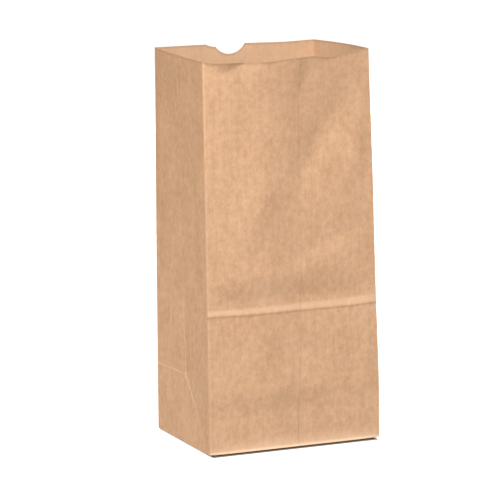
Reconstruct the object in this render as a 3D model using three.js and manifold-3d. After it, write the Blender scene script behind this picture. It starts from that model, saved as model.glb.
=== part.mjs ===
// A brown paper lunch bag of the self-opening kind, standing open and empty.
// One sheet of kraft paper is wrapped into a tube, glued down its front panel, pleated at both
// sides, and folded and glued flat at the bottom, so the whole bag is one solid.
// Millimetres, +Z up. The origin is the middle of the bottom, and the front panel faces -Y.
import * as THREE from "three";
import { mergeVertices } from "three/addons/utils/BufferGeometryUtils.js";
import Module from "manifold-3d";

// Driving dimensions
const WIDTH = 130.2; // the front and back panels
const DEPTH = 98.4; // the two gussets
const HEIGHT = 278.6; // from the bottom to the mouth
const PAPER = 0.11; // one ply

// The glued seam runs down the front panel: the ply from the left lies over the one from the right.
const SEAM_LAP = 23.7; // ply over ply
const SEAM_EDGE = 6.4; // the outer ply's cut edge, to the right of the panel's middle
const SEAM_EASE = 26; // beyond its edge, how far the under ply takes to reach the outer face

// The bottom is closed like a parcel: two tabs fold in from the gussets, and a flap from the
// back and one from the front fold over them. Each flap passes the middle line by the lap.
const FLAP_LAP = 9.5;
const FLAP_STEP = 1.5; // the back flap comes down to the floor this far past the front one's edge
const FOLD_INSET = 0.3 * PAPER; // a bottom fold's corner, rounded off by this much
const FOLD_BACK = 0.4; // an inner ply stays this far back from the edge of the ply that covers it

// Folds left from lying flat: a crease across the front where the bottom's edge lay against it,
// and in each gusset a middle crease that ends in a point at half the depth.
const CREASE_HEIGHT = DEPTH;
const CREASE_REACH = 40; // how far above and below it the rows follow its run
const CREASE_RIDGE = 1.3; // how far it stands out
const RIDGE_ABOVE = 8; // the ridge's slope above the crease
const RIDGE_BELOW = 1.5; // and below it
const POINT_HEIGHT = DEPTH / 2;

// How the crease runs: the share across the panel, and how far it is above its height there
const CREASE_RUN = [
  [0, 1.1],
  [0.5, -1.1],
  [1, -0.2],
];

// The open mouth leans a little to the left and is turned against the bottom. Each corner of
// the mouth is moved by this much from where it would stand straight above its bottom corner,
// and its upright fold is this much shorter than the height.
const LEAN_SHARE = 0.65; // of the lean that grows evenly with height; the rest grows faster
const CORNERS = [
  { name: "front left", at: [-1, -1], lean: [-2.8, -4.7], short: 1.7, stepIn: 1.6 },
  { name: "front right", at: [1, -1], lean: [-3.1, 5.3], short: 0, stepIn: 1 },
  { name: "back right", at: [1, 1], lean: [-1, 4.2], short: 2.1, stepIn: 0 },
  { name: "back left", at: [-1, 1], lean: [0.1, -5.7], short: 0.7, stepIn: 0 },
];

// How far each wall stands out from the flat: at the mouth, halfway up and at the height of
// the gussets' points. "fold" is 1 where the wall bends in a sharp middle crease.
const WALLS = [
  { name: "front", mouth: 3.6, middle: 2, point: 0.4, fold: 0 },
  { name: "right gusset", mouth: 3.4, middle: -1, point: -3.2, fold: 1 },
  { name: "back", mouth: 1.4, middle: -2, point: -1, fold: 0 },
  { name: "left gusset", mouth: 4.4, middle: 1, point: -3.4, fold: 1 },
];

// The front edge of the mouth is cut and worn a little lower than its corners: how far across
// the panel, and how far below the corners.
const MOUTH_DIPS = [
  [0, 0],
  [0.05, 1.3],
  [0.38, 4],
  [0.46, 2.2],
  [0.6, 2],
  [0.76, 3.4],
  [0.81, 2.2],
  [1, 0],
];
const DIPS_FROM = 0.86; // the share of the height above which rows follow the dips

// The thumb notch in the back panel, a part of a circle, with a torn nick on its left shoulder.
const NOTCH = { middle: -4.5, radius: 14.2, depth: 7.5, nickWidth: 7, nickDepth: 2.1 };

// Where the walls' grid of points lies: the shares across each wall, and the heights.
const SEAM_AT = 0.5 + SEAM_EDGE / WIDTH;
const UNDER_PLY_AT = SEAM_AT - SEAM_LAP / WIDTH;
const EASED_AT = SEAM_AT + SEAM_EASE / WIDTH;
const FRONT_SHARES = [
  ...[0, 0.05, 0.12, 0.2, 0.29, UNDER_PLY_AT, 0.42, 0.48, SEAM_AT],
  ...[0.61, 0.68, EASED_AT, 0.82, 0.89, 0.95],
];
const BACK_SHARES = [0, 0.08, 0.16, 0.24, 0.32, 0.42, 0.52, 0.62, 0.7, 0.8, 0.9];
const GUSSET_SHARES = [...Array(10).keys()].map((i) => i / 10);
const SHARES = [FRONT_SHARES, GUSSET_SHARES, BACK_SHARES, GUSSET_SHARES];
const FOOT = 1; // the lowest row, just above the bottom's plies
const ROWS = [
  0,
  FOOT,
  ...[1, 2, 3, 4, 5].map((i) => (i * POINT_HEIGHT) / 5),
  ...[59, 68, 78, 88, CREASE_HEIGHT - RIDGE_BELOW, CREASE_HEIGHT, CREASE_HEIGHT + RIDGE_ABOVE / 2],
  ...[CREASE_HEIGHT + RIDGE_ABOVE, 117, 128, 140, 153, 166, 179, 192, 205, 218, 230, 241, 251, 260],
  ...[267, 273, HEIGHT],
];

const clamp = (t) => Math.min(Math.max(t, 0), 1);
const ease = (t) => clamp(t) ** 2 * (3 - 2 * clamp(t));
const mix = (a, b, t) => a + (b - a) * t;

// A value between the points of a list of [place, value]
function along(list, place) {
  const after = Math.max(list.findIndex(([at]) => at >= place), 1);
  const [a, from] = list[after - 1];
  const [b, to] = list[after];
  return mix(from, to, (place - a) / (b - a));
}

// How far the front crease pushes its panel's edge out at a height, and how far the paper
// steps in below it.
function creaseRelief(z, stepIn) {
  const above = z - CREASE_HEIGHT;
  if (stepIn === 0) {
    return 0;
  }
  if (above >= 0) {
    return CREASE_RIDGE * Math.max(0, 1 - above / RIDGE_ABOVE);
  }
  if (above > -RIDGE_BELOW) {
    return mix(CREASE_RIDGE, -stepIn, -above / RIDGE_BELOW);
  }
  return (-stepIn * z) / (CREASE_HEIGHT - RIDGE_BELOW);
}

// A vertical edge of the bag at a height, as [x, y]
function corner(index, z) {
  const { at, lean, stepIn } = CORNERS[index % 4];
  const up = z / HEIGHT;
  const leant = up * mix(up, 1, LEAN_SHARE);
  return [
    (at[0] * WIDTH) / 2 + lean[0] * leant,
    (at[1] * DEPTH) / 2 + lean[1] * leant - creaseRelief(z, stepIn),
  ];
}

// The direction that a wall faces at a height
function facing(wall, z) {
  const a = corner(wall, z);
  const b = corner(wall + 1, z);
  const length = Math.hypot(b[0] - a[0], b[1] - a[1]);
  return [(b[1] - a[1]) / length, (a[0] - b[0]) / length];
}

// How far a wall stands out from the flat between its two edges
function bulge(wall, share, z) {
  const { mouth, middle, point, fold } = WALLS[wall];
  const heights = [
    [0, 0],
    [POINT_HEIGHT, point],
    [HEIGHT / 2, middle],
    [HEIGHT, mouth],
  ];
  const sharp = 1 - Math.abs(2 * share - 1);
  const round = Math.sin(Math.PI * share);
  const sharpness = fold * (1 - ease((z - POINT_HEIGHT) / HEIGHT));
  const out = along(heights, z);
  if (fold && z < POINT_HEIGHT) {
    // Below the point, two creases run from it to the bottom corners.
    const level = z / POINT_HEIGHT;
    return point * Math.min(sharp, level);
  }
  return out * mix(round, sharp, sharpness);
}

// How far the mouth's straight edge is below the full height
function shortBy(wall, share) {
  return mix(CORNERS[wall].short, CORNERS[(wall + 1) % 4].short, share);
}

// How high a row runs at a place: the front's rows follow its crease, and near the top its dips.
function height(row, wall, share) {
  const lift = wall === 0 ? along(CREASE_RUN, share) : 0;
  const near = Math.max(0, 1 - Math.abs(row - CREASE_HEIGHT) / CREASE_REACH);
  const dip = wall === 0 ? along(MOUTH_DIPS, share) : 0;
  const top = ease((row / HEIGHT - DIPS_FROM) / (1 - DIPS_FROM));
  if (row === 0) {
    // The gussets fold in over the flaps' plies, and the front and the back at the floor.
    return wall % 2 === 1 && share > 0 ? 2.5 * PAPER : 0.5 * PAPER;
  }
  return row + lift * near - dip * top - shortBy(wall, share) * (row / HEIGHT) ** 2;
}

// A point of a wall, set in from the outer face by so much paper. At an edge of the bag it is
// set in from both walls that meet there.
function wallPoint({ wall, share, inset }, row) {
  const z = height(row, wall, share);
  const out = facing(wall, row);
  if (share === 0) {
    const [x, y] = corner(wall, row);
    const before = facing((wall + 3) % 4, row);
    const mitre = inset / (1 + out[0] * before[0] + out[1] * before[1]);
    return [x - (out[0] + before[0]) * mitre, y - (out[1] + before[1]) * mitre, z];
  }
  const a = corner(wall, row);
  const b = corner(wall + 1, row);
  const push = bulge(wall, share, row) - inset;
  return [mix(a[0], b[0], share) + out[0] * push, mix(a[1], b[1], share) + out[1] * push, z];
}

// Once round the bag, the places where the grid's columns stand. The outer face steps in by a
// ply at the seam's cut edge, and the inner face steps in where the under ply starts.
function columns(isOuter) {
  const stepAt = isOuter ? SEAM_AT : UNDER_PLY_AT;
  const base = isOuter ? 0 : PAPER;
  return SHARES.flatMap((shares, wall) =>
    shares.flatMap((share) => {
      if (wall !== 0 || share < stepAt || share >= EASED_AT) {
        return [{ wall, share, inset: base }];
      }
      const eased = clamp((share - SEAM_AT) / (EASED_AT - SEAM_AT));
      const lower = { wall, share, inset: base + PAPER * (1 - eased) };
      return share === stepAt ? [{ wall, share, inset: base }, lower] : [lower];
    }),
  );
}

// Triangles between two rings of points that run side by side
function zip(outer, inner, outerStart, innerStart, add) {
  const place = (ring, i) => (i < ring.length ? ring[i].wall + ring[i].share : 4);
  let i = 0;
  let j = 0;
  while (i < outer.length || j < inner.length) {
    const o = outerStart + (i % outer.length);
    const n = innerStart + (j % inner.length);
    const outerNext = i < outer.length ? place(outer, i + 1) : Infinity;
    const innerNext = j < inner.length ? place(inner, j + 1) : Infinity;
    if (outerNext <= innerNext) {
      i += 1;
      add(o, outerStart + (i % outer.length), n);
    } else {
      j += 1;
      add(o, innerStart + (j % inner.length), n);
    }
  }
}

// The tube: an outer and an inner face, joined by the cut edge at the mouth and, at the foot,
// by a rim that the bottom's plies are glued over.
function tube() {
  const vertices = [];
  const triangles = [];
  const rings = [columns(true), columns(false)];
  const starts = [];
  rings.forEach((ring, side) => {
    const start = vertices.length / 3;
    starts.push(start);
    ROWS.forEach((row) => ring.forEach((place) => vertices.push(...wallPoint(place, row))));
    for (let r = 0; r < ROWS.length - 1; r += 1) {
      for (let c = 0; c < ring.length; c += 1) {
        const next = (c + 1) % ring.length;
        const a = start + r * ring.length + c;
        const b = start + r * ring.length + next;
        const d = a + ring.length;
        const e = b + ring.length;
        // The gussets' lower squares are split along the creases that run to the corners.
        const falls = ring[c].wall % 2 === 1 && ring[c].share >= 0.5;
        const faces = falls ? [[a, b, d], [b, e, d]] : [[a, b, e], [a, e, d]];
        faces.forEach(([p, q, s]) => triangles.push(...(side === 0 ? [p, q, s] : [p, s, q])));
      }
    }
  });
  const top = ROWS.length - 1;
  const tops = starts.map((start, side) => start + top * rings[side].length);
  zip(rings[0], rings[1], tops[0], tops[1], (p, q, s) => triangles.push(p, q, s));
  zip(rings[0], rings[1], starts[0], starts[1], (p, q, s) => triangles.push(p, s, q));
  const geometry = new THREE.BufferGeometry();
  geometry.setAttribute("position", new THREE.Float32BufferAttribute(vertices, 3));
  geometry.setIndex(triangles);
  return geometry;
}

// A flat piece of paper with its outline as [x, y] points, between two heights counted in plies
function ply(outline, from, to) {
  const shape = new THREE.Shape(outline.map(([x, y]) => new THREE.Vector2(x, y)));
  const depth = (to - from) * PAPER;
  return new THREE.ExtrudeGeometry(shape, { depth, bevelEnabled: false }).translate(0, 0, from * PAPER);
}

// The bottom's plies. Plies that are glued bite a little into each other, and each is drawn back
// a little from the fold or the edge of the next, as paper is at a pressed fold.
function bottomPlies() {
  const side = WIDTH / 2 - FOLD_INSET;
  const front = -DEPTH / 2 + FOLD_INSET;
  const back = -front;
  const behind = 1.5 * PAPER; // from the bag's outer face to a ply that lies inside a wall
  const tip = side + front - FLAP_LAP; // half the width that a flap has left at its cut edge
  const clear = FLAP_LAP + FLAP_STEP;
  const clearTip = side - back + clear;
  const seam = [SEAM_EDGE - FOLD_BACK, FOLD_BACK - tip];
  const inner = -DEPTH / 2 + behind;
  const plies = [
    // the front flap, outermost
    ply([[-side, front], [side, front], [tip, FLAP_LAP], [-tip, FLAP_LAP]], 0, 1),
    // the seam's under ply on the front flap
    ply([[seam[1], inner], [seam[0], inner], [seam[0], -clear], [seam[1], -clear]], 0.6, 1.9),
    // the back flap, over the front one where they lap, and on the floor beyond it
    ply([[-tip, -FLAP_LAP], [tip, -FLAP_LAP], [side, back], [-side, back]], 0.8, 1.8),
    ply(
      [[-clearTip, clear], [clearTip, clear], [side - FOLD_BACK, inner * -1], [FOLD_BACK - side, inner * -1]],
      0,
      1.2,
    ),
  ];
  [-1, 1].forEach((hand) => {
    const turned = (points) => (hand > 0 ? points : points.map(([x, y]) => [-x, y]).reverse());
    const near = tip + FOLD_BACK;
    const far = side - 3 * FOLD_BACK;
    // the ears: each flap's slanted edge is a fold, and the paper behind it lies on the flap
    plies.push(ply(turned([[near, inner], [far, inner], [near, inner + far - near]]), 0.5, 2.5));
    plies.push(ply(turned([[near, near - far - inner], [far, -inner], [near, -inner]]), 1.1, 2.4));
    // the tab from the gusset, innermost
    plies.push(ply(turned([[tip, inner], [side, inner], [side, -inner], [tip, -inner]]), 2, 3));
  });
  return plies;
}

// What the thumb notch takes out of the back panel
function notchCutter() {
  const { middle, radius, depth, nickWidth, nickDepth } = NOTCH;
  const centre = radius - depth;
  const clear = 3; // above the mouth's edge
  const reach = Math.asin(centre / radius);
  const half = radius * Math.cos(reach);
  const shape = new THREE.Shape();
  shape.moveTo(-half - nickWidth, clear);
  shape.lineTo(-half - nickWidth, 0);
  shape.lineTo(-half - nickWidth / 2, -nickDepth);
  shape.lineTo(-half + nickDepth / 2, -nickDepth * 0.9);
  shape.absarc(0, centre, radius, Math.PI + Math.asin((centre + nickDepth * 0.9) / radius), 2 * Math.PI - reach);
  shape.lineTo(half, clear);
  const cutter = new THREE.ExtrudeGeometry(shape, { depth: DEPTH / 4, bevelEnabled: false, curveSegments: 16 });
  const edge = HEIGHT - shortBy(2, 0.5 - middle / WIDTH);
  return cutter.rotateX(Math.PI / 2).translate(middle, (DEPTH * 5) / 8, edge);
}

const wasm = await Module();
wasm.setup();

function solid(geometry) {
  const bare = geometry.clone();
  bare.deleteAttribute("normal");
  bare.deleteAttribute("uv");
  const merged = mergeVertices(bare, 1e-5);
  const mesh = new wasm.Mesh({
    numProp: 3,
    vertProperties: Float32Array.from(merged.attributes.position.array),
    triVerts: Uint32Array.from(merged.index.array),
  });
  return new wasm.Manifold(mesh);
}

function geometryOf(body) {
  const { vertProperties, triVerts } = body.getMesh();
  const geometry = new THREE.BufferGeometry();
  geometry.setAttribute("position", new THREE.BufferAttribute(vertProperties, 3));
  geometry.setIndex(new THREE.BufferAttribute(triVerts, 1));
  geometry.computeVertexNormals();
  return geometry;
}

const closed = bottomPlies().reduce((bag, flat) => bag.add(solid(flat)), solid(tube()));
const kraft = new THREE.MeshStandardMaterial({ color: 0xcfa27c, roughness: 0.85, metalness: 0 });
const bag = new THREE.Mesh(geometryOf(closed.subtract(solid(notchCutter()))), kraft);
bag.name = "paper_bag";

const model = new THREE.Group();
model.add(bag);

export default model;
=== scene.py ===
from math import cos, radians, sin

import bpy
import numpy as np
from mathutils import Matrix, Vector


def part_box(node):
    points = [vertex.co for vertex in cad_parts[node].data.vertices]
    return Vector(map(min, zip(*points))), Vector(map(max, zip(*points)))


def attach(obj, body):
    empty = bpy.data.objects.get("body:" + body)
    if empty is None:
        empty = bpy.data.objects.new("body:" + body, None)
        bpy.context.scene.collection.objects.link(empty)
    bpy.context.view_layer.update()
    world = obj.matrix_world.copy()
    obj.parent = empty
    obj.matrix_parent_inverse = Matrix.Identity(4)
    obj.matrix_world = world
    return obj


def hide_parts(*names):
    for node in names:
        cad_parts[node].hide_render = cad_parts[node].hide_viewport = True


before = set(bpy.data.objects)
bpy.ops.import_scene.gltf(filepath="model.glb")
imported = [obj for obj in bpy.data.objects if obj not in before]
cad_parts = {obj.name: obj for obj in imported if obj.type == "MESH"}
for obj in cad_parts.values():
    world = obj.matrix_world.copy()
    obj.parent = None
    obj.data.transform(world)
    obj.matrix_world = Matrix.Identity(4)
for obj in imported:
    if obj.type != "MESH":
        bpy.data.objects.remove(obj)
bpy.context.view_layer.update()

# ------------------------------------------------------------------------------------------
# The sheet. One piece of brown kraft paper, cut from the roll and printed with nothing. Its
# places are measured along it: u across each panel, counted round the bag from the front left
# edge, and t upwards from the bottom fold, so that the bottom's flaps lie at negative t.

mm = 0.001
WIDTH = 130.2 * mm  # the front and back panels
DEPTH = 98.4 * mm  # the gussets
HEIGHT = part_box("paper_bag")[1][2]  # from the bottom fold to the mouth
PAPER = 0.11 * mm  # one ply
FLAP_LAP = 9.5 * mm  # each bottom flap passes the middle line by this
FLAP = DEPTH / 2 + FLAP_LAP  # how far the sheet runs on below the bottom fold
FOLD = 0.5 * mm  # the first points beside a fold, so that it stays narrow
GUSSET_POINT = DEPTH / 2  # how high up the gussets' folded feet reach
PANELS = np.array([WIDTH, DEPTH, WIDTH, DEPTH])  # front, right gusset, back, left gusset
FRONT, RIGHT, BACK, LEFT = range(4)
FOLDS = [0.0] + np.cumsum(PANELS).tolist()  # the upright folds; the last is the first again
SAME = 0.001 * mm  # closer than this is the same place


def marks(length, steps):
    """Evenly spaced places from one fold to the next, with one more close beside each."""
    return np.unique(np.r_[np.linspace(0, length, steps + 1), FOLD, length - FOLD])


half_gusset = marks(DEPTH / 2, 22)
gusset_marks = np.r_[half_gusset, DEPTH - half_gusset[-2::-1]]
ear_marks = marks(FLAP, 27)
SEAM_EDGE = WIDTH - FLAP  # the outer ply's cut edge
UNDER_EDGE = float(ear_marks[23])  # where the under ply starts, about 24 mm to its left

# The thumb notch: part of a circle, cut out of the back panel at the mouth, where a scrap of
# paper has torn off its shoulder.
NOTCH_AT = WIDTH / 2 + 4.5 * mm
NOTCH_RADIUS = 14.2 * mm
NOTCH_DEPTH = 7.5 * mm
NOTCH_HALF = (NOTCH_RADIUS**2 - (NOTCH_RADIUS - NOTCH_DEPTH) ** 2) ** 0.5
NICK_WIDTH = 7 * mm
NICK_DEPTH = 2.1 * mm

front_marks = np.r_[ear_marks, np.linspace(FLAP, SEAM_EDGE, 7), WIDTH - ear_marks]
front_marks = np.unique(np.round(front_marks, 7))
notch_marks = NOTCH_AT + np.linspace(-NOTCH_HALF - 1 * mm, NOTCH_HALF + NICK_WIDTH + 1 * mm, 46)
beside_notch = (front_marks < notch_marks[0] - FOLD) | (front_marks > notch_marks[-1] + FOLD)
back_marks = np.sort(np.r_[front_marks[beside_notch], notch_marks])

# Columns once along the sheet, from the under ply's edge round to the outer ply's edge.
under_ply = front_marks[front_marks >= UNDER_EDGE - SAME]
outer_ply = front_marks[front_marks <= SEAM_EDGE + SAME]
runs = [
    (FRONT, under_ply),
    (RIGHT, gusset_marks[1:]),
    (BACK, back_marks[1:]),
    (LEFT, gusset_marks[1:]),
    (FRONT, outer_ply[1:]),
]
panel = np.concatenate([np.full(len(places), wall) for wall, places in runs])
u = np.concatenate([places for _, places in runs])
is_under = np.arange(len(u)) < len(under_ply)

# Rows up the sheet: the flaps, the gussets' folded feet, the crease and the mouth.
CREASE = DEPTH  # where the bottom lay folded up against the front
below_crease = [-7, -5, -3.4, -2.2, -1.3, -0.7, -0.3]
above_crease = [0, 0.4, 0.9, 1.5, 2.3, 3.3, 4.6, 6.2, 8]
crease_rows = CREASE + np.array(below_crease + above_crease) * mm
mouth_rows = HEIGHT - np.array([12, 9.5, 7.4, 5.6, 4.2, 3, 2, 1.2, 0.5, 0]) * mm
t = np.r_[
    -ear_marks[::-1],
    half_gusset[1:],
    np.linspace(half_gusset[-1], crease_rows[0], 19)[1:-1],
    crease_rows,
    np.linspace(crease_rows[-1], mouth_rows[0], 68)[1:-1],
    mouth_rows,
]

# ------------------------------------------------------------------------------------------
# The tube. The sheet stands as four panels between four upright folds. Opened from lying flat,
# it leans and turns a little, its gussets keep their folds, and its front keeps the crease
# that the folded bottom pressed into it.


def ease(x):
    """From 0 to 1 with a soft start and end."""
    x = np.clip(x, 0, 1)
    return x * x * (3 - 2 * x)


def along(points, x):
    """A smooth value between the points of a short list of (place, value)."""
    at, value = np.array(points, float).T
    i = np.clip(np.searchsorted(at, x, side="right") - 1, 0, len(at) - 2)
    share = ease((x - at[i]) / (at[i + 1] - at[i]))
    return value[i] + (value[i + 1] - value[i]) * share


# The mouth's corners, from where they would be straight above the bottom's: the front left,
# front right, back right and back left fold, as x, y and z.
CORNER_SIDES = np.array([[-1, -1], [1, -1], [1, 1], [-1, 1]])
FRONT_LEAN = [[-2.8, -4.7, -1.7], [-3.1, 5.3, 0.2]]
BACK_LEAN = [[-1.0, 4.2, -2.1], [0.6, -5.7, -0.3]]
CORNER_LEAN = np.array(FRONT_LEAN + BACK_LEAN) * mm
LEAN_SHARE = 0.65  # of the lean that grows evenly with height; the rest grows faster
STEP_IN = np.array([0.25, 0.2, 0, 0]) * mm  # how far the front folds step in under the crease
STEP_GROWTH = 0.7  # the step grows upwards, fast at first
CREASE_RIDGE = np.array([0.25, 0.36]) * mm  # how far the crease stands out, left and right
RIDGE_SPREAD = np.array([2.6, 3.6]) * mm  # how soon the ridge falls back above
RIDGE_FOOT = 1.9 * mm  # and how soon it falls back below
CREASE_SAG = [(0, 1.1), (0.3, 0), (0.8, 0), (1, 0.6)]  # how the crease runs across
SAG_REACH = 40 * mm  # how far above and below the crease the paper follows it

# The front right fold bows out to the right, at heights up to the mouth.
FOLD_BOW = [(0, 0.8), (45, 1.4), (80, 1.0), (100, 0.5), (140, 0.4), (190, 0.6), (278, 0)]


def crease_relief(z, share, step):
    """How far the crease brings a place of the front panel out: a ridge, and a step in below."""
    above = z - CREASE
    ridge = CREASE_RIDGE[0] + (CREASE_RIDGE[1] - CREASE_RIDGE[0]) * share
    spread = RIDGE_SPREAD[0] + (RIDGE_SPREAD[1] - RIDGE_SPREAD[0]) * share
    over = ridge * np.exp(-np.maximum(above, 0) / spread)
    under = -step * (z / CREASE) ** STEP_GROWTH
    return under + (over - under) * ease(1 + above / RIDGE_FOOT)


def corner(index, z):
    """A place on one of the four upright folds."""
    index = index % 4
    up = np.clip(z / HEIGHT, 0, None)
    leant = up * (LEAN_SHARE + (1 - LEAN_SHARE) * up)
    place = CORNER_SIDES[index] * [WIDTH / 2, DEPTH / 2] + CORNER_LEAN[index, :2] * leant[..., None]
    front_left, front_right = index == 0, index == 1
    crease = crease_relief(z, front_right, STEP_IN[index])
    place[..., 1] -= np.where(front_left | front_right, crease, 0)
    place[..., 0] += np.where(front_right, along(FOLD_BOW, z / mm) * mm, 0)
    return place


# Soft buckles in the panels, as the paper stands: panel, centre across and up, half length and
# half width, the long way's slope in degrees, and height outwards. Lengths are in millimetres.
BUCKLES = [
    (FRONT, 50, 220, 70, 26, 90, 1.6),
    (FRONT, 85, 213, 36, 12, 56, -2.2),
    (FRONT, 92, 264, 30, 16, 0, 0.9),
    (FRONT, 116, 205, 30, 9, 80, 1.1),
    (FRONT, 44, 178, 16, 8, 90, 0.4),
    (FRONT, 34, 171, 20, 7, -38, 0.9),
    (FRONT, 30, 154, 38, 9, 62, 0.6),
    (FRONT, 88, 132, 26, 6, 20, 0.45),
    (FRONT, 92, 146, 26, 6, 20, -0.45),
    (FRONT, 34, 124, 46, 8, 6, 0.55),
    (FRONT, 66, 108, 120, 8, 0, -0.9),
    (FRONT, 66, 82, 40, 5, 0, 0.3),
    (FRONT, 120, 52, 24, 9, 70, 0.7),
    (FRONT, 96, 64, 20, 6, 66, 0.35),
    (FRONT, 119, 94, 16, 11, 90, 0.6),
    (FRONT, 56, 47, 14, 5, 48, 0.5),
    (FRONT, 60, 43, 75, 7, 0, 0.7),
    (FRONT, 108, 58, 24, 8, 10, 0.4),
    (FRONT, 50, 27, 60, 6, 0, -0.4),
    (LEFT, 28, 180, 50, 8, 92, 0.4),
    (LEFT, 12, 222, 40, 9, 90, 0.6),
    (LEFT, 76, 150, 60, 7, 90, -0.5),
    (RIGHT, 30, 190, 60, 10, 84, 0.9),
    (RIGHT, 66, 120, 50, 9, 95, -0.8),
    (RIGHT, 74, 226, 40, 10, 90, 0.8),
    (BACK, 40, 200, 50, 14, 70, 0.9),
    (BACK, 88, 150, 46, 12, 112, -0.9),
    (BACK, 64, 90, 60, 12, 4, 0.8),
    (BACK, 100, 226, 30, 12, 60, 0.8),
]

FOLD_HOLD = 0.08  # no buckle moves an upright fold: they fade within this share of a panel

# How far each panel bellies out in its middle, at heights up to the mouth. In a gusset it is
# the middle fold that goes in or out. The front and the left gusset belly most a little
# before their middle.
BELLY = {
    FRONT: [(0, 0), (60, 0.6), (100, 0.5), (127, 2.1), (230, 3.0), (278, 6.8)],
    RIGHT: [(0, 0), (49, -3.2), (100, -2.4), (170, 1.0), (278, 3.4)],
    BACK: [(0, 0), (60, -1.0), (140, -2.0), (278, 1.4)],
    LEFT: [(0, 0), (49, -2.8), (95, -1.8), (150, -0.4), (215, 0.0), (250, 0.2), (278, 1.5)],
}
BELLY_SHIFT = 0.8  # below 1, so that the most is before the middle
SOFT_ABOVE = 0.8 * HEIGHT  # a gusset's sharp fold has grown round this far above its point


def relief(wall, share, z):
    """How far the paper stands out from the straight line between its panel's two folds."""
    out = np.zeros(np.broadcast(wall, share, z).shape)
    for side, heights in BELLY.items():
        middle = along(heights, z / mm) * mm
        shifted = share**BELLY_SHIFT if side in (FRONT, LEFT) else share
        round_belly = np.sin(np.pi * shifted)
        if side in (LEFT, RIGHT):
            # A folded gusset: below its point two creases run to the bottom's corners.
            sharp = 1 - np.abs(2 * share - 1)
            foot = np.minimum(sharp, z / GUSSET_POINT)
            softened = ease((z - GUSSET_POINT) / SOFT_ABOVE)
            point_depth = along(heights, GUSSET_POINT / mm) * mm
            above_point = middle * (sharp + (round_belly - sharp) * softened)
            belly = np.where(z < GUSSET_POINT, point_depth * foot, above_point)
        else:
            belly = middle * round_belly
        out = out + np.where(wall == side, belly, 0)
    held = ease(share / FOLD_HOLD) * ease((1 - share) / FOLD_HOLD)
    for side, at_u, at_z, length, width, slope, height in BUCKLES:
        across = share * PANELS[side] / mm - at_u
        up = z / mm - at_z
        way = radians(slope)
        a = (across * cos(way) + up * sin(way)) / length
        b = (-across * sin(way) + up * cos(way)) / width
        out = out + np.where(wall == side, height * mm * np.exp(-a * a - b * b) * held, 0)
    return out


# The mouth: how far its front and back edges have dropped below the corners, across the panel,
# and where the front edge curls outwards, as centre and half width in shares of the panel,
# reach down and amount.
MOUTH_DIPS = [
    (0, 0),
    (0.05, 1.3),
    (0.38, 2.7),
    (0.46, 1.6),
    (0.6, 1.3),
    (0.76, 3.4),
    (0.81, 2.2),
    (1, 0),
]
BACK_DIPS = [(0, 0), (0.2, 0.7), (0.38, 0.4), (0.5, 0), (1, 0)]
MOUTH_CURLS = [
    (0.115, 0.12, 7.5, 3.0),
    (0.36, 0.05, 5, 0.6),
    (0.52, 0.22, 24, 3.2),
    (0.72, 0.09, 12, 0.9),
]
CURL_GROWTH = 1.4  # a curl starts softly
MOUTH_FROM = 0.86  # the rows above this share of the height follow the mouth's edge


def mouth_drop(wall, across):
    """How far below the full height the mouth's edge runs."""
    share = across / PANELS[wall]
    dips = along(MOUTH_DIPS, share) * mm
    off = across - NOTCH_AT
    circle = np.sqrt(np.clip(NOTCH_RADIUS**2 - off**2, 0, None)) - (NOTCH_RADIUS - NOTCH_DEPTH)
    torn = off - (NOTCH_HALF - 1 * mm)
    nick = NICK_DEPTH * np.sqrt(np.clip(1 - torn / NICK_WIDTH, 0, 1))
    nick = np.where((torn > 0) & (torn < NICK_WIDTH), nick, 0)
    notch = np.maximum(np.clip(circle, 0, None), nick)
    notch = notch + along(BACK_DIPS, share) * mm
    return np.where(wall == FRONT, dips, np.where(wall == BACK, notch, 0))


def stand(wall, across, row):
    """Where places of the sheet above the bottom fold stand, as x, y, z."""
    share = across / PANELS[wall]
    a, b = corner(wall, row), corner(wall + 1, row)
    run = b - a
    run = run / np.linalg.norm(run, axis=-1, keepdims=True)
    facing = np.stack([run[..., 1], -run[..., 0]], -1)
    out = relief(wall, share, row)
    curl = 0
    for at, half, reach, amount in MOUTH_CURLS:
        narrowing = np.clip(1 - np.abs(share - at) / half, 1e-6, 1)
        below = (HEIGHT - row) / (reach * mm * narrowing)
        curl = curl + amount * mm * narrowing * np.clip(1 - below, 0, 1) ** CURL_GROWTH
    out = out + np.where(wall == FRONT, curl, 0)
    flat = a + (b - a) * share[..., None] + facing * out[..., None]
    sag = along(CREASE_SAG, share) * mm * np.clip(1 - np.abs(row - CREASE) / SAG_REACH, 0, 1)
    drop = mouth_drop(wall, across) * ease((row / HEIGHT - MOUTH_FROM) / (1 - MOUTH_FROM))
    corner_z = CORNER_LEAN[wall, 2] * (1 - share) + CORNER_LEAN[(wall + 1) % 4, 2] * share
    z = row + np.where(wall == FRONT, sag, 0) - drop + corner_z * (row / HEIGHT) ** 2
    return np.concatenate([flat, z[..., None]], -1)


# ------------------------------------------------------------------------------------------
# The bottom, closed like a parcel. The gussets' ends fold in as two tabs, then the back and
# the front fold over them as flaps. At each flap's slanted edge the paper turns back under it
# as an ear. The plies are glued, with hardly a gap, and the front flap is outermost.

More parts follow.
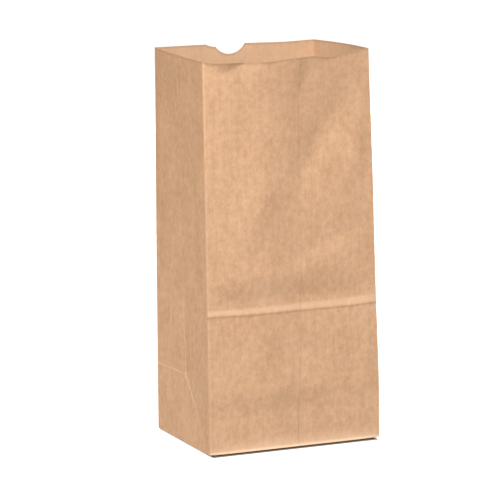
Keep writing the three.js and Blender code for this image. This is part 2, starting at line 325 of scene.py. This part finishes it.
FLAP_PLY, EAR_PLY, TAB_PLY = range(3)  # from the table upwards
PLY_STEP = 0.13 * mm  # from one ply to the next
PLY_LEVELS = np.array([0, 1.7, 2.0]) * PLY_STEP  # of a flap, an ear and a tab
LAP_RISE = 0.3 * mm  # how far the back flap rises to lie on the front one
LAP_SLOPE = 4 * mm  # and over what length
FOOT_LIFT = 0.5 * mm  # the bottom's folds stand off the table by this all round
LIFT_REACH = 8 * mm  # how soon that fades inwards
FRONT_LIFT = 0.7 * mm  # the front fold stands off by this much more
FRONT_LIFT_REACH = 10 * mm
FOOT_FLARE = 1.3 * mm  # and it stands out in front by this
FLARE_REACH = 2.6 * mm  # how soon that fades upwards
PLIES_REACH = 6 * mm  # the walls' feet stand as high as the bottom's plies, up to here
WALL_LIFT_REACH = 25 * mm  # and are lifted with them, up to here
LOOSE_FROM = 14 * mm  # above this the paper is free to cockle
SEAM_EASE = 26 * mm  # the under ply takes this width to come out to the front's face


def level_of(ply, at_back, y):
    """How high a bottom ply lies: flap, ear or tab, and the back ones over the front ones."""
    lap = ease(1 - (np.abs(y) - FLAP_LAP - 1 * mm) / LAP_SLOPE)
    over = np.where(at_back | (ply == TAB_PLY), LAP_RISE * lap, 0)
    return PLY_LEVELS[ply] + over


def foot_lift(x, y):
    """The bottom's folds curl up off the table, the front one most."""
    from_edge = np.minimum(WIDTH / 2 - np.abs(x), DEPTH / 2 - np.abs(y))
    from_front = y + DEPTH / 2
    all_round = FOOT_LIFT * np.exp(-np.clip(from_edge, 0, None) / LIFT_REACH)
    return all_round + FRONT_LIFT * np.exp(-np.clip(from_front, 0, None) / FRONT_LIFT_REACH)


def lie(wall, across, down, under):
    """Where places of the sheet below the bottom fold lie, as x, y, z."""
    start = CORNER_SIDES[wall] * [WIDTH / 2, DEPTH / 2]
    end = CORNER_SIDES[(wall + 1) % 4] * [WIDTH / 2, DEPTH / 2]
    run = (end - start) / PANELS[wall][..., None]
    inward = np.stack([-run[..., 1], run[..., 0]], -1)
    left = PANELS[wall] - across
    flap = start + run * across[..., None] + inward * down[..., None]
    ear_near = start + run * down[..., None] + inward * across[..., None]
    ear_far = end - run * down[..., None] + inward * left[..., None]
    has_flap = (wall == FRONT) | (wall == BACK)
    near = has_flap & (across < down)
    far = has_flap & (left < down)
    flat = np.where(near[..., None], ear_near, np.where(far[..., None], ear_far, flap))
    ply = np.where(has_flap, np.where(near | far, EAR_PLY, FLAP_PLY), TAB_PLY)
    z = level_of(ply, wall == BACK, flat[..., 1])
    on_fold = has_flap & ((np.abs(across - down) < SAME) | (np.abs(left - down) < SAME))
    z = np.where(on_fold, z + PLY_STEP, z)
    z = z + np.where(under & (wall == FRONT), PLY_STEP, 0)
    return np.concatenate([flat, z[..., None]], -1)


rows, columns = len(t), len(u)
wall_grid = np.broadcast_to(panel, (rows, columns))
u_grid = np.broadcast_to(u, (rows, columns))
t_grid = np.broadcast_to(t[:, None], (rows, columns))
under_grid = np.broadcast_to(is_under, (rows, columns))

# The seam was glued a little askew: towards the bottom the outer ply's edge is further left.
SEAM_SKEW = [(0, 3.8), (50, 3.0), (90, 0.6), (150, 0), (279, 0)]
askew = np.clip((u_grid - FLAP) / (SEAM_EDGE - FLAP), 0, 1)
askew = np.where((wall_grid == FRONT) & ~under_grid, askew, 0)
u_grid = u_grid - askew * along(SEAM_SKEW, np.clip(t_grid, 0, None) / mm) * mm

standing = stand(wall_grid, u_grid, np.maximum(t_grid, 0))
lying = lie(wall_grid, u_grid, np.maximum(-t_grid, 0), under_grid)
foot_ply = np.where((wall_grid == LEFT) | (wall_grid == RIGHT), TAB_PLY, FLAP_PLY)
foot_z = level_of(foot_ply, False, lying[..., 1])
standing[..., 2] += np.clip(1 - t_grid / PLIES_REACH, 0, 1) * foot_z
places = np.where((t_grid < 0)[..., None], lying, standing)
bottom_lift = foot_lift(places[..., 0], places[..., 1])
lift_left = np.clip(1 - t_grid / WALL_LIFT_REACH, 0, 1)
wall_lift = FOOT_LIFT + (bottom_lift - FOOT_LIFT) * lift_left
places[..., 2] += np.where(t_grid < 0, bottom_lift, wall_lift)

# The front's foot flares out, though not at its two corners.
flare = FOOT_FLARE * np.exp(-t_grid / FLARE_REACH) * (wall_grid == FRONT) * (t_grid >= 0)
across_front = np.clip(1 - np.abs(2 * u_grid / WIDTH - 1) ** 8, 0, 1)
places[..., 1] -= flare * across_front

# The under ply of the seam lies one ply in from the outer one, and comes out to the panel's
# face a little beyond the outer ply's edge.
tuck = PLY_STEP * (1 - ease((u_grid - SEAM_EDGE) / SEAM_EASE))
places[..., 1] += np.where(under_grid & (t_grid >= 0), tuck, 0)

# Faces, each square of the sheet as two triangles, split along the slanted folds.
first = (np.arange(rows - 1)[:, None] * columns + np.arange(columns - 1)).ravel()
a, b, c, d = first, first + 1, first + columns + 1, first + columns
mid_u = ((u[:-1] + u[1:]) / 2)[None, :] * np.ones((rows - 1, 1))
mid_t = ((t[:-1] + t[1:]) / 2)[:, None] * np.ones((1, columns - 1))
in_wall = np.broadcast_to(panel[1:], mid_u.shape)
past_middle = mid_u > PANELS[in_wall] / 2
falling = np.where(mid_t < 0, ~past_middle, past_middle & (in_wall % 2 == 1)).ravel()
faces = np.where(
    falling[:, None],
    np.stack([a, b, d, b, c, d], 1),
    np.stack([a, b, c, a, c, d], 1),
).reshape(-1, 3)

sheet_mesh = bpy.data.meshes.new("kraft_bag")
sheet_mesh.from_pydata(places.reshape(-1, 3).tolist(), [], faces.tolist())
bag = bpy.data.objects.new("kraft_bag", sheet_mesh)
bpy.context.scene.collection.objects.link(bag)

# The sheet's own coordinates, in metres: once round the bag, and up from the flaps' cut edge.
round_bag = np.array(FOLDS)[wall_grid] + u_grid
up_sheet = t_grid + FLAP
sheet_uv = sheet_mesh.uv_layers.new(name="sheet")
corners = np.empty(len(sheet_mesh.loops), int)
sheet_mesh.loops.foreach_get("vertex_index", corners)
uv = np.stack([round_bag.ravel(), up_sheet.ravel()], 1)[corners]
sheet_uv.data.foreach_set("uv", uv.astype(np.float32).ravel())

# Where the paper is free to cockle: all the walls, but not the glued bottom.
free = sheet_mesh.attributes.new("free", "FLOAT", "POINT")
free.data.foreach_set("value", ease(t_grid / LOOSE_FROM).astype(np.float32).ravel())


def wire(tree, kind, settings=(), sockets=(), out=0):
    """Adds a node to a tree, sets it, then its sockets, and gives one of its outputs."""
    node = tree.nodes.new(kind)
    for name, value in dict(settings).items():
        setattr(node, name, value)
    for name, value in dict(sockets).items():
        if isinstance(value, bpy.types.NodeSocket):
            tree.links.new(value, node.inputs[name])
        else:
            node.inputs[name].default_value = value
    return None if out is None else node.outputs[out]


def cockle_tree():
    """Geometry nodes that let free paper wave in and out, as it does after it is handled."""
    tree = bpy.data.node_groups.new("paper cockle", "GeometryNodeTree")
    face = tree.interface
    face.new_socket("Geometry", in_out="OUTPUT", socket_type="NodeSocketGeometry")
    face.new_socket("Geometry", in_out="INPUT", socket_type="NodeSocketGeometry")
    for name in ("Height", "Length", "Seed"):
        face.new_socket(name, in_out="INPUT", socket_type="NodeSocketFloat")
    face.new_socket("Paper", in_out="INPUT", socket_type="NodeSocketMaterial")
    given = tree.nodes.new("NodeGroupInput").outputs
    where = wire(tree, "GeometryNodeInputPosition")
    per_metre = wire(tree, "ShaderNodeMath", {"operation": "DIVIDE"}, {0: 1.0, 1: given["Length"]})
    waves = wire(
        tree,
        "ShaderNodeTexNoise",
        {"noise_dimensions": "4D"},
        {"Vector": where, "W": given["Seed"], "Scale": per_metre, "Detail": 3.0, "Roughness": 0.42},
    )
    centred = wire(tree, "ShaderNodeMath", {"operation": "SUBTRACT"}, {0: waves, 1: 0.5})
    high = wire(tree, "ShaderNodeMath", {"operation": "MULTIPLY"}, {0: centred, 1: given["Height"]})
    loose = wire(tree, "GeometryNodeInputNamedAttribute", {"data_type": "FLOAT"}, {"Name": "free"})
    amount = wire(tree, "ShaderNodeMath", {"operation": "MULTIPLY"}, {0: high, 1: loose})
    facing = wire(tree, "GeometryNodeInputNormal")
    push = wire(tree, "ShaderNodeVectorMath", {"operation": "SCALE"}, {0: facing, "Scale": amount})
    moved = wire(tree, "GeometryNodeSetPosition", (), {"Geometry": given["Geometry"], "Offset": push})
    real = wire(tree, "GeometryNodeRealizeInstances", (), {"Geometry": moved})
    painted = wire(tree, "GeometryNodeSetMaterial", (), {"Geometry": real, "Material": given["Paper"]})
    end = tree.nodes.new("NodeGroupOutput")
    tree.links.new(painted, end.inputs["Geometry"])
    return tree


# ------------------------------------------------------------------------------------------
# The paper. Unbleached kraft: matt, brown, mottled by its fibres, with fine lines up the sheet
# from the machine that made it. It is paler where a fold has broken its fibres.


class Field:
    """A value or colour that varies over the surface. Arithmetic on it adds Math nodes."""

    def __init__(self, tree, socket=None):
        self.tree, self.socket = tree, socket

    def add(self, kind, settings=(), sockets=(), out=0):
        """Any node: its type, its settings, its sockets' values or links, and which output."""
        plain = {name: getattr(value, "socket", value) for name, value in dict(sockets).items()}
        return Field(self.tree, wire(self.tree, kind, settings, plain, out))

    def maths(self, operation, first, second=0.0):
        return self.add("ShaderNodeMath", {"operation": operation}, {0: first, 1: second})

    def __add__(self, other):
        return self.maths("ADD", self, other)

    def __sub__(self, other):
        return self.maths("SUBTRACT", self, other)

    def __rsub__(self, other):
        return self.maths("SUBTRACT", other, self)

    def __mul__(self, other):
        return self.maths("MULTIPLY", self, other)

    def __pow__(self, other):
        return self.maths("POWER", self, other)

    def __abs__(self):
        return self.maths("ABSOLUTE", self)

    __radd__ = __add__
    __rmul__ = __mul__

    def most(self, other):
        return self.maths("MAXIMUM", self, other)

    def axis(self, letter):
        """One of a place's three coordinates."""
        return self.add("ShaderNodeSeparateXYZ", (), {0: self}, letter)

    def band(self, low, high):
        """0 below low and 1 above high, with a soft rise between; the other way if low > high."""
        sockets = {"Value": self, "From Min": low, "From Max": high, "To Min": 0.0, "To Max": 1.0}
        return self.add("ShaderNodeMapRange", {"interpolation_type": "SMOOTHSTEP"}, sockets)

    def line(self, half):
        """1 where the value is 0, falling to 0 at half to either side."""
        return abs(self).band(half, 0.0)


def noise(place, across, up, detail, rough, turn=0.0):
    """Noise on the sheet, of about this size across and up it."""
    per_size = (1 / across, 1 / up, 0.0)
    stretched = place.add("ShaderNodeVectorMath", {"operation": "MULTIPLY"}, {0: place, 1: per_size})
    return stretched.add(
        "ShaderNodeTexNoise",
        {"noise_dimensions": "4D"},
        {"Vector": stretched, "W": turn, "Scale": 1.0, "Detail": detail, "Roughness": rough},
    )


def blend(factor, under, over, how="MIX"):
    """One colour over another. A Mix node's colours are its inputs 6 and 7 and its output 2."""
    settings = {"data_type": "RGBA", "blend_type": how}
    return factor.add("ShaderNodeMix", settings, {0: factor, 6: under, 7: over}, 2)


KRAFT_DARK = (0.49, 0.272, 0.147, 1.0)
KRAFT_PALE = (0.73, 0.450, 0.274, 1.0)
KRAFT_PINK = (0.67, 0.375, 0.235, 1.0)
KRAFT_YELLOW = (0.62, 0.385, 0.195, 1.0)
INNER_PAINTED_LIGHT = (0.64, 0.475, 0.315, 1.0)
KRAFT_SHADED = (0.33, 0.18, 0.095, 1.0)
GUSSET_PAINTED_SHADE = (0.962, 0.938, 0.89, 1.0)
DARK_FLECK = (0.30, 0.16, 0.08, 1.0)
# Pale fibres and fold wear, and also the painted highlights on the crease and the front's foot.
PALE_FIBRE_AND_HIGHLIGHT = (0.84, 0.57, 0.375, 1.0)
# Near white: the front bottom fold's wear and its painted highlight.
FOLD_WEAR_AND_HIGHLIGHT = (0.92, 0.74, 0.56, 1.0)

kraft = bpy.data.materials.new("kraft_paper")
kraft.use_nodes = True
tree = kraft.node_tree
tree.nodes.clear()
start = Field(tree)
sheet = start.add("ShaderNodeUVMap", {"uv_map": "sheet"})
s = sheet.axis("X")  # once round the bag, from the front left fold
v = sheet.axis("Y") - FLAP  # up from the bottom fold
inside = start.add("ShaderNodeAttribute", {"attribute_name": "inner"}, out="Fac")

mottle = noise(sheet, 4.4 * mm, 5.6 * mm, 4.0, 0.68)
warmth = noise(sheet, 5.0 * mm, 7.0 * mm, 3.0, 0.6, 31.0)
fine_mottle = noise(sheet, 1.5 * mm, 2.2 * mm, 2.0, 0.6, 3.0)
cloud = noise(sheet, 19 * mm, 27 * mm, 3.0, 0.5, 7.0)
streak = noise(sheet, 1.6 * mm, 60 * mm, 3.0, 0.6, 11.0)
fleck = noise(sheet, 0.8 * mm, 2.4 * mm, 1.0, 0.5, 19.0)
patchy = noise(sheet, 3 * mm, 3 * mm, 2.0, 0.6, 23.0).band(0.30, 0.62)

tone = (mottle - 0.5) * 1.2 + (fine_mottle - 0.5) * 0.45 + (cloud - 0.5) * 0.6 + (streak - 0.5) * 0.38
dark_flecks = fleck.band(0.70, 0.80)
pale_flecks = fleck.band(0.30, 0.20)

# How far each fold is rubbed pale, as a line on the sheet: the bottom's fold, the upright ones,
# and the front left one once more just beside it, most towards the mouth.
worn = v.line(1.4 * mm) * 0.5
for fold_at in FOLDS:
    worn = worn.most((s - fold_at).line(1.0 * mm) * 0.2)
front_left_fold = (s - 1.1 * mm).line(1.2 * mm) * (v.band(20 * mm, 110 * mm) * 0.16 + 0.18)
worn = worn.most(front_left_fold)

# The gussets' own folds: the middle one, which ends in the gusset's point, the two that run
# from there to the bottom's corners, and the score that runs from there to the back.
gussets = 0.0
above_point = v.band(GUSSET_POINT - FOLD, GUSSET_POINT)
from_point = v - GUSSET_POINT
for gusset, to_back in ((RIGHT, 1.0), (LEFT, -1.0)):
    off_middle = s - (FOLDS[gusset] + DEPTH / 2)
    in_gusset = abs(off_middle).band(DEPTH / 2 + FOLD, DEPTH / 2)
    gussets = gussets + in_gusset
    back_side = off_middle * to_back
    middle_fold = off_middle.line(1.4 * mm) * above_point * (v.band(120 * mm, 60 * mm) * 0.5 + 0.25)
    foot_folds = (abs(off_middle) + from_point).line(2.4 * mm) * (1 - above_point) * v.band(-FOLD, 0.0)
    front_fold_more = back_side.band(1 * mm, -1 * mm) * v.band(5 * mm, 45 * mm) * 0.9
    foot_folds = foot_folds * (front_fold_more + 0.12)
    worn = worn.most(middle_fold).most(foot_folds * in_gusset)
    score = from_point.line(0.9 * mm) * back_side.band(0.0, FOLD) * in_gusset
    point = (off_middle * off_middle + from_point * from_point) ** 0.5
    worn = worn.most(score * 0.7).most(point.band(3.2 * mm, 0.8 * mm) * 0.9)
worn = worn * (patchy * 0.7 + 0.3) * (1 - inside * 0.8)

colour = blend((tone + 0.5).band(0.0, 1.0), KRAFT_DARK, KRAFT_PALE)
colour = blend(warmth.band(0.5, 0.66) * 0.35, colour, KRAFT_PINK)
colour = blend(warmth.band(0.5, 0.34) * 0.35, colour, KRAFT_YELLOW)
# Painted shade: the gussets' outer sides are painted darker and warmer, most towards the mouth and
# least at the foot, where more light bounces.
gusset_shade_amount = gussets * (1 - inside) * (v.band(50 * mm, 200 * mm) * 0.62 + 0.34)
colour = blend(gusset_shade_amount, colour, GUSSET_PAINTED_SHADE, "MULTIPLY")
# Painted light: the inner side is painted paler and pinker, for the light that comes through the paper
# and bounces inside the bag.
colour = blend(inside * 0.4, colour, INNER_PAINTED_LIGHT)
colour = blend(dark_flecks * 0.22, colour, DARK_FLECK)
colour = blend(pale_flecks * 0.22, colour, PALE_FIBRE_AND_HIGHLIGHT)
colour = blend(worn * 0.8, colour, PALE_FIBRE_AND_HIGHLIGHT)

# Painted shade at the seam: where two plies let less light through it is painted darker, and the outer
# one's cut edge gets a fine painted shadow line, askew towards the foot. Under the crease there is a
# faint painted shade.
front_panel = s.band(WIDTH, WIDTH - FOLD)
two_plies = s.band(UNDER_EDGE - 0.6 * mm, UNDER_EDGE) * s.band(SEAM_EDGE + 0.2 * mm, SEAM_EDGE)
foot_skew = SEAM_SKEW[0][1] * mm
seam_at = SEAM_EDGE - v.band(100 * mm, 20 * mm) * foot_skew
cut_edge_shadow = (s - seam_at).line(0.8 * mm)
cut_edge_shadow = cut_edge_shadow * (v.band(150 * mm, 90 * mm) * 0.13 + v.band(34 * mm, 12 * mm) * 0.22 + 0.04)
crease_shade = (v - (CREASE - 1.0 * mm)).line(1.0 * mm) * front_panel
shade = (two_plies * 0.07 + cut_edge_shadow + crease_shade * 0.05) * (1 - inside)
colour = blend(shade, colour, KRAFT_SHADED)

# The crease's upper edge gets a painted highlight, in a band that widens and fades to the right, where
# its flank faces the light. The front's foot is painted lighter towards the bottom fold, and that fold
# is rubbed pale and gets a painted highlight too.
on_front = front_panel * (1 - inside)
over_crease = v - CREASE
band_top = s * (1.6 * mm / WIDTH) + 3.5 * mm
crease_highlight = (over_crease - band_top).band(1.6 * mm, -1.0 * mm) * over_crease.band(-0.4 * mm, 1.8 * mm)
crease_highlight = crease_highlight * (0.47 - s * (0.14 / WIDTH))
foot_painted_light = v.band(12 * mm, 1 * mm) * (s.band(0.0, 45 * mm) * 0.24 + 0.14)
foot_fold_wear_and_highlight = (v - 0.9 * mm).line(1.5 * mm)
colour = blend((crease_highlight + foot_painted_light + foot_fold_wear_and_highlight * 0.3) * on_front, colour, PALE_FIBRE_AND_HIGHLIGHT)
colour = blend(foot_fold_wear_and_highlight * on_front * 0.35, colour, FOLD_WEAR_AND_HIGHLIGHT)

# The mouth's cut edge and the back left fold are painted a little darker, and the gussets' feet get a
# painted shade where they meet the table.
mouth_edge = v.band(HEIGHT - 2.2 * mm, HEIGHT - 0.7 * mm) * 0.3
back_left_fold = (s - FOLDS[LEFT]).line(2.6 * mm) * 0.16
gusset_feet_shade = v.band(1.8 * mm, 0.2 * mm) * gussets * 0.16
colour = blend(mouth_edge.most(back_left_fold).most(gusset_feet_shade), colour, KRAFT_SHADED)

fibres = mottle * 0.5 + fine_mottle * 0.5 + streak * 0.35 + fleck * 0.3
bumped = fibres.add("ShaderNodeBump", (), {"Strength": 0.35, "Distance": 0.12 * mm, "Height": fibres})
roughness = 0.84 + (mottle - 0.5) * 0.16
shader = start.add(
    "ShaderNodeBsdfPrincipled",
    (),
    {"Base Color": colour, "Roughness": roughness, "Normal": bumped, "Specular IOR Level": 0.15},
)
start.add("ShaderNodeOutputMaterial", (), {"Surface": shader}, out=None)

# The sheet gets its cockle and its thickness, and becomes a plain closed mesh. For that it has
# the paper twice, so that its inner side can be told from its outer one.
for _ in range(2):
    sheet_mesh.materials.append(kraft)
cockle = bag.modifiers.new("cockle", "NODES")
cockle.node_group = cockle_tree()
cockle_inputs = {"Height": 0.3 * mm, "Length": 30 * mm, "Seed": 4.0, "Paper": kraft}
for item in cockle.node_group.interface.items_tree:
    if item.in_out == "INPUT" and item.name in cockle_inputs:
        cockle[item.identifier] = cockle_inputs[item.name]
thickness = bag.modifiers.new("thickness", "SOLIDIFY")
thickness.thickness = PAPER
thickness.offset = -1
thickness.use_even_offset = False
thickness.material_offset = 1
bpy.context.view_layer.update()
made = bpy.data.meshes.new_from_object(bag.evaluated_get(bpy.context.evaluated_depsgraph_get()))
bag.modifiers.clear()
bag.data = made
side_of_paper = np.empty(len(made.polygons), np.int32)
made.polygons.foreach_get("material_index", side_of_paper)
inner = made.attributes.new("inner", "FLOAT", "FACE")
inner.data.foreach_set("value", side_of_paper.astype(np.float32))
made.materials.clear()
made.materials.append(kraft)
made.polygons.foreach_set("material_index", np.zeros(len(made.polygons), np.int32))
made.polygons.foreach_set("use_smooth", np.ones(len(made.polygons), bool))
made.set_sharp_from_angle(angle=radians(40))
made.update()

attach(bag, "root")
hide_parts("paper_bag")

# ------------------------------------------------------------------------------------------
# The floor: a wide white table top under even light. It glows a little, so that it is as white
# as the studio behind it, except under the bag and a little in front, where a dark contact shadow is
# painted on it and it doesn't glow.

TABLE_REACH = 9.0  # half its width
TABLE_DROP = 0.05 * mm  # the table top is just below the bag's lowest ply
# The bag's contact shadow is painted on the table: dark, and without its glow.
FRONT_SHADOW = 4.0 * mm  # the bag's contact shadow comes out in front by this
SIDE_SHADOW = -0.6 * mm  # and stays within its sides by this
TABLE_GLOW = 0.8
TABLE_WHITE = (0.6, 0.58, 0.55, 1)
TABLE_SHADED = (0.22, 0.19, 0.15, 1)

table_sides = [(-1, -1), (1, -1), (1, 1), (-1, 1)]
table_corners = [(x * TABLE_REACH, y * TABLE_REACH, -TABLE_DROP) for x, y in table_sides]
floor_mesh = bpy.data.meshes.new("table_top")
floor_mesh.from_pydata(table_corners, [], [(0, 1, 2, 3)])
floor = bpy.data.objects.new("table_top", floor_mesh)
bpy.context.scene.collection.objects.link(floor)

white = bpy.data.materials.new("white_table")
white.use_nodes = True
white_shader = white.node_tree.nodes["Principled BSDF"]
white_shader.inputs["Roughness"].default_value = 0.9
white_shader.inputs["Specular IOR Level"].default_value = 0.0
white_shader.inputs["Emission Strength"].default_value = TABLE_GLOW
spot = Field(white.node_tree).add("ShaderNodeTexCoord", out="Object")
off_x = abs(spot.axis("X")) - SIDE_SHADOW
along_y = spot.axis("Y")
off_y = along_y.most(along_y * -1.0 - FRONT_SHADOW)
off_bag = (off_x - WIDTH / 2).most(off_y - DEPTH / 2)
# Painted contact shadow: outside it the table is white and glows, inside it is dark and doesn't.
clear = off_bag.band(-2 * mm, 1 * mm)
table_colour = blend(clear, TABLE_SHADED, TABLE_WHITE)
white.node_tree.links.new(table_colour.socket, white_shader.inputs["Base Color"])
table_light = blend(clear, (0, 0, 0, 1), (1, 1, 1, 1))
white.node_tree.links.new(table_light.socket, white_shader.inputs["Emission Color"])
floor_mesh.materials.append(white)
floor.visible_diffuse = False

# ------------------------------------------------------------------------------------------
# The light: a white studio all round, one broad soft lamp at the front left and above, another
# behind on the right, and a small low one that lights the foot of the left gusset.

STUDIO_LIGHT = 0.36
world = bpy.data.worlds.new("white_studio")
bpy.context.scene.world = world
world.use_nodes = True
studio = world.node_tree.nodes["Background"].inputs
studio["Color"].default_value = (1, 1, 1, 1)
studio["Strength"].default_value = STUDIO_LIGHT


def way_out(azimuth, elevation):
    """The way out from the bag: degrees round from its front to its right, and degrees up."""
    turn, up = radians(azimuth), radians(elevation)
    return Vector((sin(turn) * cos(up), -cos(turn) * cos(up), sin(up)))


def lamp(name, azimuth, elevation, distance, size, power, aim_height=HEIGHT / 2):
    """A round lamp that shines on the bag's upright middle line and isn't seen itself."""
    data = bpy.data.lights.new(name, "AREA")
    data.shape = "DISK"
    data.size = size
    data.energy = power
    way = way_out(azimuth, elevation)
    holder = bpy.data.objects.new(name, data)
    holder.location = Vector((0, 0, aim_height)) + way * distance
    holder.rotation_euler = (-way).to_track_quat("-Z", "Y").to_euler()
    holder.visible_camera = False
    bpy.context.scene.collection.objects.link(holder)


lamp("key", azimuth=-32.5, elevation=35, distance=2.2, size=1.1, power=57)
lamp("fill", azimuth=-95, elevation=3, distance=0.36, size=0.18, power=0.19, aim_height=0.04)
lamp("back", azimuth=150, elevation=25, distance=2.2, size=1.1, power=46)

# ------------------------------------------------------------------------------------------
# The camera, low and to the left of the front, with a long lens.

AZIMUTH, ELEVATION, ROLL, DISTANCE = -22.85, 9.65, -0.81, 2.151
TARGET = Vector((-0.0116, 0, 0.1351))
FOCAL_SHARE = 3021 / 500  # focal length as a share of the picture's width

camera_data = bpy.data.cameras.new("camera")
camera_data.sensor_width = 36
camera_data.lens = FOCAL_SHARE * camera_data.sensor_width
camera_data.clip_end = 50
camera = bpy.data.objects.new("camera", camera_data)
back_way = way_out(AZIMUTH, ELEVATION)
level_view = (-back_way).to_track_quat("-Z", "Y").to_matrix()
camera.location = TARGET + back_way * DISTANCE
camera.rotation_euler = (level_view @ Matrix.Rotation(radians(ROLL), 3, "Z")).to_euler()
bpy.context.scene.collection.objects.link(camera)
bpy.context.scene.camera = camera
bpy.context.scene.view_settings.view_transform = "Standard"
